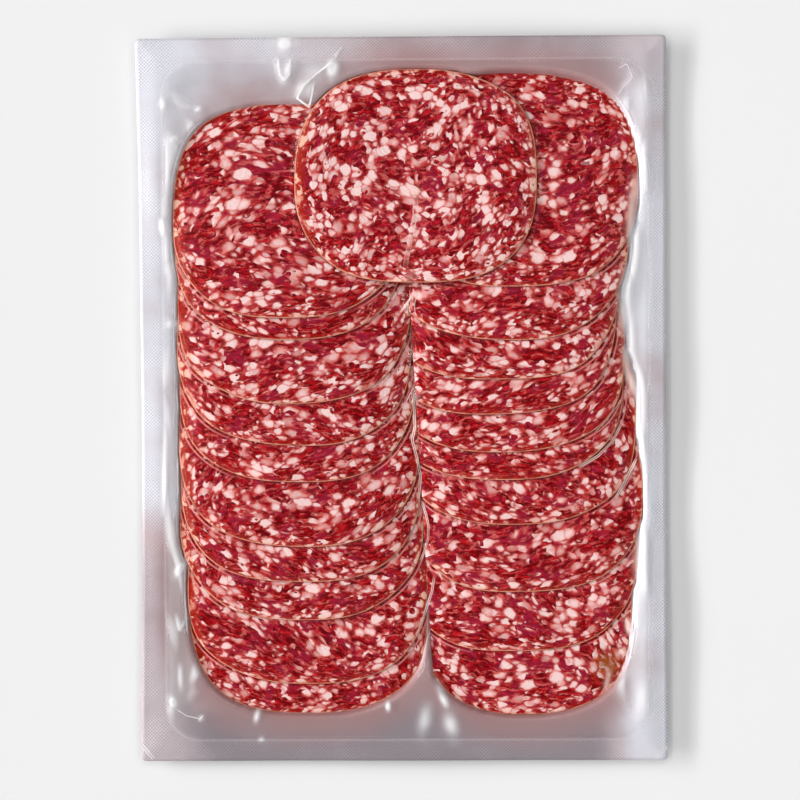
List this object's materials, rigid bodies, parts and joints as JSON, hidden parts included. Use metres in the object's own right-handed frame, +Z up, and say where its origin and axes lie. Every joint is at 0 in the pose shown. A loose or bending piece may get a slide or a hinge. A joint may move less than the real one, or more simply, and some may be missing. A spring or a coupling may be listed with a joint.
{
  "type": "pack of sliced salami",
  "caption": "Flat sealed pack of sliced salami, its slices overlapping in columns with a last slice across the top, under clear film on a silvery base.",
  "frame": {"origin": "on the surface the pack rests on, under the middle of the pack", "axes": "+Z up, out of the clear side; +Y along the pack, towards the end where the uppermost slices lie; +X to the right seen from above"},
  "size_m": [0.184, 0.252, 0.0111],
  "materials": {
    "base_web": "semi-gloss silvery grey-lilac plastic web, embossed in its seal",
    "clear_film": "clear glossy plastic film",
    "salami": "moist dark red cured meat with pinkish white fat grains"
  },
  "bodies": {
    "root": {"bottom_web": "base_web", "lid_film": "clear_film", "slice_left_01": "salami", "slice_left_02": "salami", "slice_left_03": "salami", "slice_left_04": "salami", "slice_left_05": "salami", "slice_left_06": "salami", "slice_left_07": "salami", "slice_left_08": "salami", "slice_left_09": "salami", "slice_left_10": "salami", "slice_right_01": "salami", "slice_right_02": "salami", "slice_right_03": "salami", "slice_right_04": "salami", "slice_right_05": "salami", "slice_right_06": "salami", "slice_right_07": "salami", "slice_right_08": "salami", "slice_right_09": "salami", "slice_right_10": "salami", "slice_centre": "salami"}
  },
  "joints": []
}
